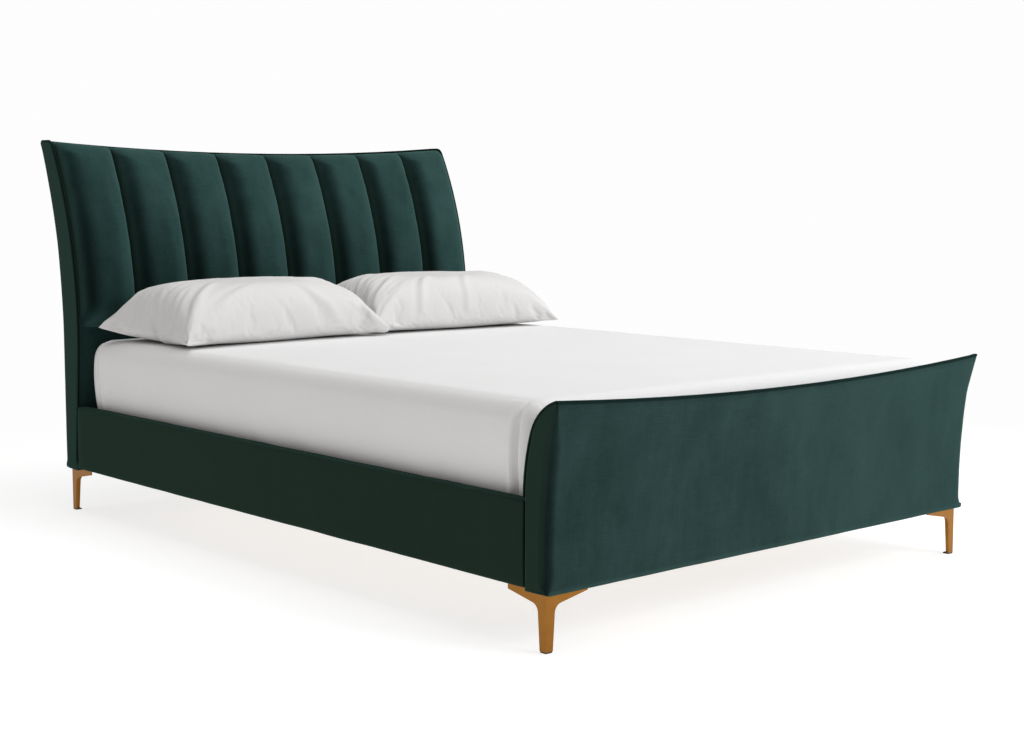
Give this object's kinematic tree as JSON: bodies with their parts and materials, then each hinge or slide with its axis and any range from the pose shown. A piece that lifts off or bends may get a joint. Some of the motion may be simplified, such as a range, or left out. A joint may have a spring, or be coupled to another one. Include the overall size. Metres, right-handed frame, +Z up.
{
  "type": "upholstered bed",
  "caption": "Double bed with a padded, vertically channelled headboard, a rolled sleigh footboard, low padded side rails, slats, metal corner legs, a mattress and pillows.",
  "frame": {"origin": "middle of the overall box, on the floor", "axes": "+Y from the foot of the bed to its head, +X across the bed to the right of a person who looks from the foot to the head, +Z up"},
  "size_m": [1.43, 2.1924, 1.0617],
  "materials": {
    "headboard_velvet": "short-pile dark green velvet",
    "footboard_velvet": "short-pile dark green velvet",
    "rail_velvet": "short-pile dark green velvet",
    "piping": "covered cord in dark green velvet",
    "board": "raw plywood",
    "pine": "planed softwood",
    "slat_beech": "lacquered bent beech",
    "dark_plastic": "matte",
    "dark_paint": "matte powder coat",
    "zinc_steel": "zinc plated",
    "gold": "satin gold",
    "sheet_cotton": "plain woven cotton",
    "case_cotton": "plain woven cotton",
    "pillow_fill": "soft fibre filling",
    "ticking": "quilted ticking",
    "foam": "foam and wadding",
    "spring_steel": "pocketed springs"
  },
  "bodies": {
    "frame": {"headboard_ribs": "pine", "headboard_top_rail": "pine", "headboard_mid_rail": "pine", "headboard_bottom_rail": "pine", "headboard_face_board": "board", "headboard_back_board": "board", "headboard_lower_pad": "headboard_velvet", "headboard_channel_1": "headboard_velvet", "headboard_channel_2": "headboard_velvet", "headboard_channel_3": "headboard_velvet", "headboard_channel_4": "headboard_velvet", "headboard_channel_5": "headboard_velvet", "headboard_channel_6": "headboard_velvet", "headboard_channel_7": "headboard_velvet", "headboard_channel_8": "headboard_velvet", "headboard_cover": "headboard_velvet", "headboard_piping": "piping", "footboard_ribs": "pine", "footboard_top_rail": "pine", "footboard_bottom_rail": "pine", "footboard_inner_board": "board", "footboard_outer_board": "board", "footboard_inner_pad": "footboard_velvet", "footboard_cover": "footboard_velvet", "footboard_piping": "piping", "left_rail_core": "pine", "left_rail_cover": "rail_velvet", "right_rail_core": "pine", "right_rail_cover": "rail_velvet", "left_ledger": "pine", "right_ledger": "pine", "centre_rail": "pine", "centre_rail_brackets": "zinc_steel", "front_centre_leg": "dark_paint", "back_centre_leg": "dark_paint", "corner_brackets": "zinc_steel", "bracket_bolts": "zinc_steel", "foot_left_leg": "gold", "foot_right_leg": "gold", "head_left_leg": "gold", "head_right_leg": "gold", "leg_screws": "zinc_steel", "leg_glides": "dark_plastic", "slat_side_caps": "dark_plastic", "slat_centre_caps": "dark_plastic", "slats_left": "slat_beech", "slats_right": "slat_beech"},
    "front_foot": {"front_foot_pad": "dark_plastic", "front_foot_stud": "zinc_steel"},
    "back_foot": {"back_foot_pad": "dark_plastic", "back_foot_stud": "zinc_steel"},
    "mattress": {"fitted_sheet": "sheet_cotton", "mattress_cover": "ticking", "mattress_comfort_pads": "foam", "mattress_springs": "spring_steel"},
    "left_pillow_body": {"left_pillow": "pillow_fill", "left_pillow_case": "case_cotton"},
    "right_pillow_body": {"right_pillow": "pillow_fill", "right_pillow_case": "case_cotton"}
  },
  "joints": [
    {"name": "mattress_lift", "type": "slide", "parent": "frame", "child": "mattress", "axis": [0, 0, 1], "range_m": [0, 0.06]},
    {"name": "left_pillow_lift", "type": "slide", "parent": "mattress", "child": "left_pillow_body", "axis": [0, 0, 1], "range_m": [0, 0.15]},
    {"name": "right_pillow_lift", "type": "slide", "parent": "mattress", "child": "right_pillow_body", "axis": [0, 0, 1], "range_m": [0, 0.15]},
    {"name": "front_foot_height", "type": "slide", "parent": "frame", "child": "front_foot", "axis": [0, 0, 1], "range_m": [0, 0.01]},
    {"name": "back_foot_height", "type": "slide", "parent": "frame", "child": "back_foot", "axis": [0, 0, 1], "range_m": [0, 0.01]}
  ]
}
